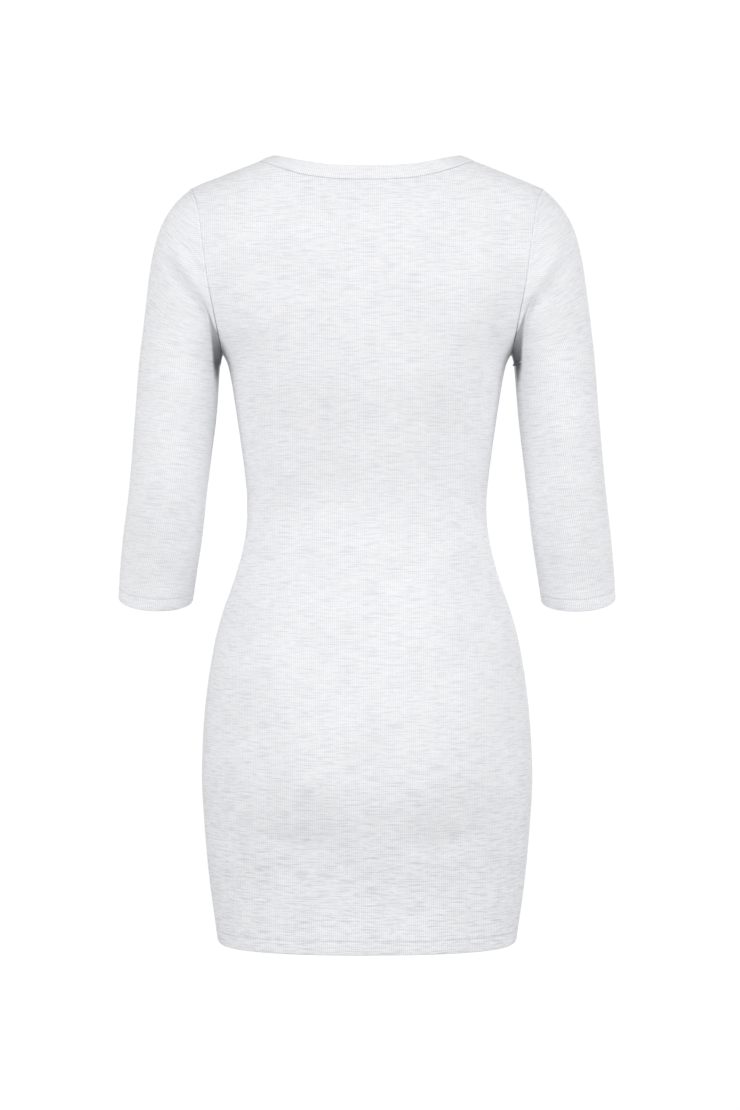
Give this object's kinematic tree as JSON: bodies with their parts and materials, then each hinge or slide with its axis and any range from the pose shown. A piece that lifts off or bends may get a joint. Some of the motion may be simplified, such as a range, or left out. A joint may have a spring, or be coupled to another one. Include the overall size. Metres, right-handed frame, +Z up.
{
  "type": "wrap dress",
  "caption": "Short fitted wrap dress in pale melange rib knit, with three-quarter sleeves and a V wrap front, hollow and open at neck, hem and cuffs.",
  "frame": {"origin": "midway between the two neck points, on the line of the shoulders, where the wearer holds the dress up", "axes": "+Z up, from hem to neck; -Y to the front of the dress; +X to the wearer's left"},
  "size_m": [0.53, 0.2403, 0.8291],
  "materials": {
    "knit": "matte fine rib knit in off-white with pale grey melange streaks",
    "band_knit": "the same knit, folded double as a flat band with a stitched seam"
  },
  "bodies": {
    "root": {"back": "knit", "front_over": "knit", "front_under": "knit", "neckband": "band_knit", "sleeve_left": "knit", "sleeve_right": "knit"}
  },
  "joints": []
}
